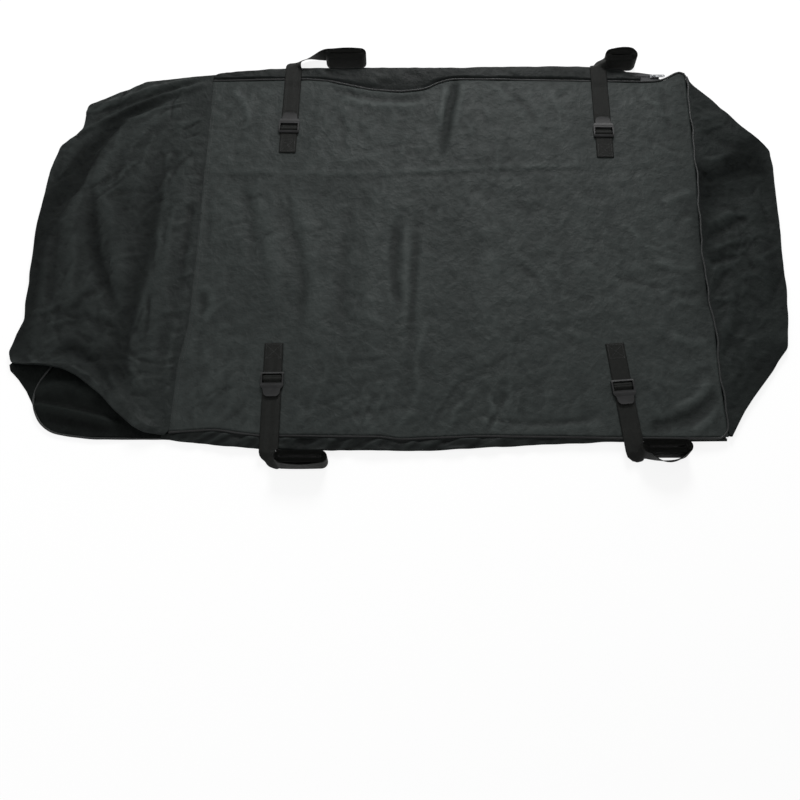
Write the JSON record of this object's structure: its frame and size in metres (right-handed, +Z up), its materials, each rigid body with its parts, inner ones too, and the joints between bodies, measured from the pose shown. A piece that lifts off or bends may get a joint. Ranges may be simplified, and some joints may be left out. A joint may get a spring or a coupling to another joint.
{
  "type": "roof cargo bag",
  "caption": "Soft roof cargo bag laid out flat, with a raked front, piped edges, a covered zip and tie-down straps on ladder-lock buckles, their ends rolled up.",
  "frame": {"origin": "centre of the base panel's underside, on the ground", "axes": "+Z up, -X to the bag's raked front, +X to its rear, +Y to its right side with the zip"},
  "size_m": [1.6002, 1.0194, 0.038],
  "materials": {
    "bag_fabric": "woven coated polyester, matt",
    "piping": "fabric-covered cord",
    "webbing": "woven nylon webbing",
    "zip_tape": "woven tape with nylon coil",
    "buckle_plastic": "moulded acetal, satin",
    "zip_metal": "plated, satin"
  },
  "bodies": {
    "bag": {"base_panel": "bag_fabric", "top_panel": "bag_fabric", "front_panel": "bag_fabric", "rear_panel": "bag_fabric", "left_side_panel": "bag_fabric", "right_side_panel": "bag_fabric", "zip_tape_upper": "zip_tape", "zip_tape_lower": "zip_tape", "zip_stop_front": "zip_metal", "zip_stop_rear": "zip_metal", "storm_flap": "bag_fabric", "top_piping": "piping", "base_piping": "piping", "strap_left_front": "webbing", "strap_left_rear": "webbing", "strap_right_front": "webbing", "strap_right_rear": "webbing"},
    "buckle_left_front": {"buckle_left_front": "buckle_plastic"},
    "buckle_left_rear": {"buckle_left_rear": "buckle_plastic"},
    "buckle_right_front": {"buckle_right_front": "buckle_plastic"},
    "buckle_right_rear": {"buckle_right_rear": "buckle_plastic"},
    "slider": {"zip_slider": "zip_metal"},
    "pull": {"zip_pull": "zip_metal"}
  },
  "joints": [
    {"name": "buckle_left_front_tilt", "type": "hinge", "parent": "bag", "child": "buckle_left_front", "pos_m": [-0.19155, -0.305, 0.0141], "axis": [-1, -0.007, 0], "range_deg": [0, 60], "deforming": ["strap_left_front"]},
    {"name": "buckle_left_rear_tilt", "type": "hinge", "parent": "bag", "child": "buckle_left_rear", "pos_m": [0.50672, -0.32172, 0.0141], "axis": [-0.9966, -0.0819, 0], "range_deg": [0, 60], "deforming": ["strap_left_rear"]},
    {"name": "buckle_right_front_tilt", "type": "hinge", "parent": "bag", "child": "buckle_right_front", "pos_m": [-0.18689, 0.28799, 0.0141], "axis": [0.9998, -0.0209, 0], "range_deg": [0, 60], "deforming": ["strap_right_front"]},
    {"name": "buckle_right_rear_tilt", "type": "hinge", "parent": "bag", "child": "buckle_right_rear", "pos_m": [0.52275, 0.27599, 0.0141], "axis": [0.9999, -0.014, 0], "range_deg": [0, 60], "deforming": ["strap_right_rear"]},
    {"name": "zip_slide", "type": "slide", "parent": "bag", "child": "slider", "axis": [1, 0, 0], "range_m": [-1.001, 0], "deforming": ["zip_tape_upper", "zip_tape_lower"]},
    {"name": "zip_pull_swing", "type": "hinge", "parent": "slider", "child": "pull", "pos_m": [0.653, 0.45455, 0.013], "axis": [0, -1, 0], "range_deg": [0, 165]}
  ]
}
